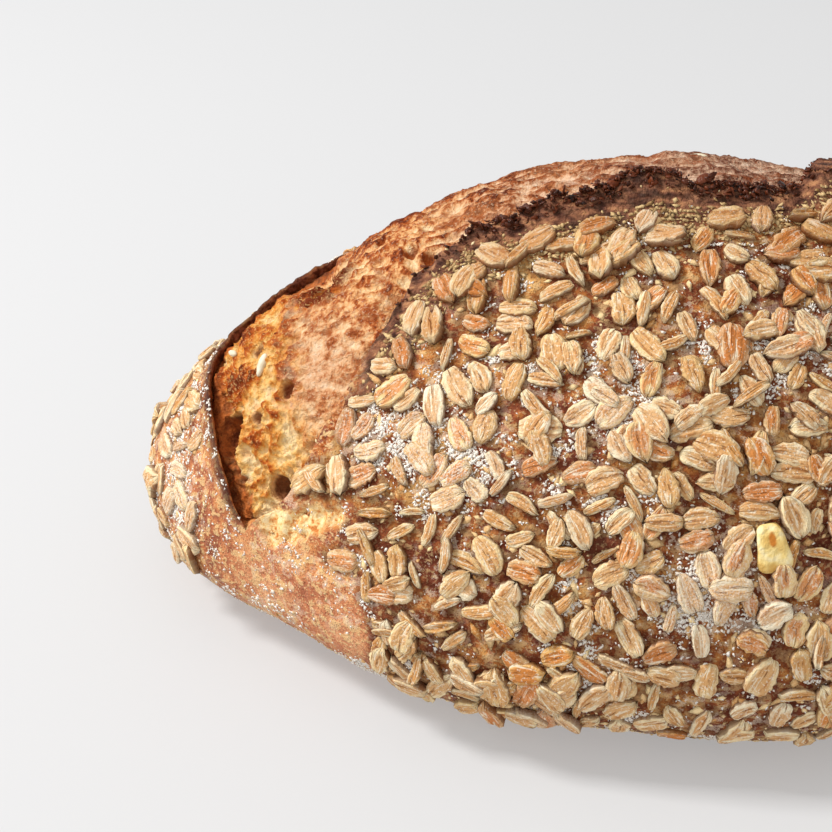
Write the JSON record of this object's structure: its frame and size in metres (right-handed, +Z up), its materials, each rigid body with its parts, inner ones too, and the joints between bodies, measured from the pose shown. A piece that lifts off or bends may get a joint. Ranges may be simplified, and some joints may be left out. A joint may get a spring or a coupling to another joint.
{
  "type": "rye bread loaf",
  "caption": "Oval hearth rye loaf: domed, flat underneath, one long open slash with a torn crumb, a thin ear, and flattened rye grains baked over the crust.",
  "frame": {"origin": "middle of the underside of the loaf's box, on the surface it rests on", "axes": "+X along the loaf's length towards the end where the slash runs out, -Y towards the seeded side below the slash's ear, +Z up"},
  "size_m": [0.2756, 0.1734, 0.121],
  "materials": {
    "crust": "matt baked rye crust with grains and flour"
  },
  "bodies": {
    "root": {"loaf": "crust"}
  },
  "joints": []
}
